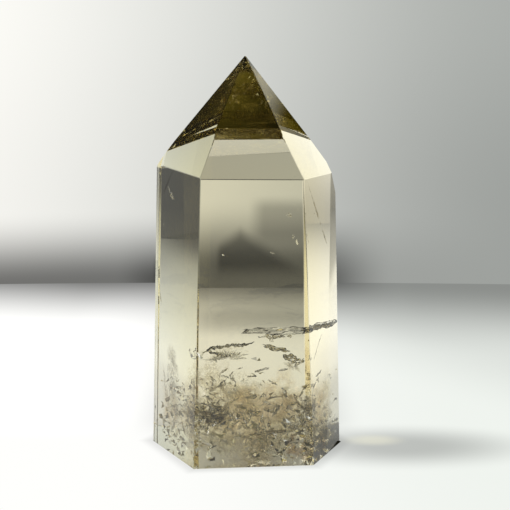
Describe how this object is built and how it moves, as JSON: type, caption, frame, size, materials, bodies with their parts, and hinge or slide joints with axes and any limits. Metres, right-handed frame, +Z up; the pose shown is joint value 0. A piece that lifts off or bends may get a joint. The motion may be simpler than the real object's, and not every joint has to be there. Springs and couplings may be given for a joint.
{
  "type": "citrine crystal point",
  "caption": "Polished smoky citrine tower: a clear six-sided prism with softened edges, tapering in two steps to a point, standing on a flat cut base.",
  "frame": {"origin": "centre of the footprint on the flat cut base, where the tower stands", "axes": "+Z up along the tower to its tip, +X to the right of the broad front face, +Y from the front face to the back"},
  "size_m": [0.0386, 0.0292, 0.0798],
  "materials": {
    "citrine": "polished, clear pale smoky yellow, clouded with small fractures near the base"
  },
  "bodies": {
    "root": {"crystal_point": "citrine"}
  },
  "joints": []
}
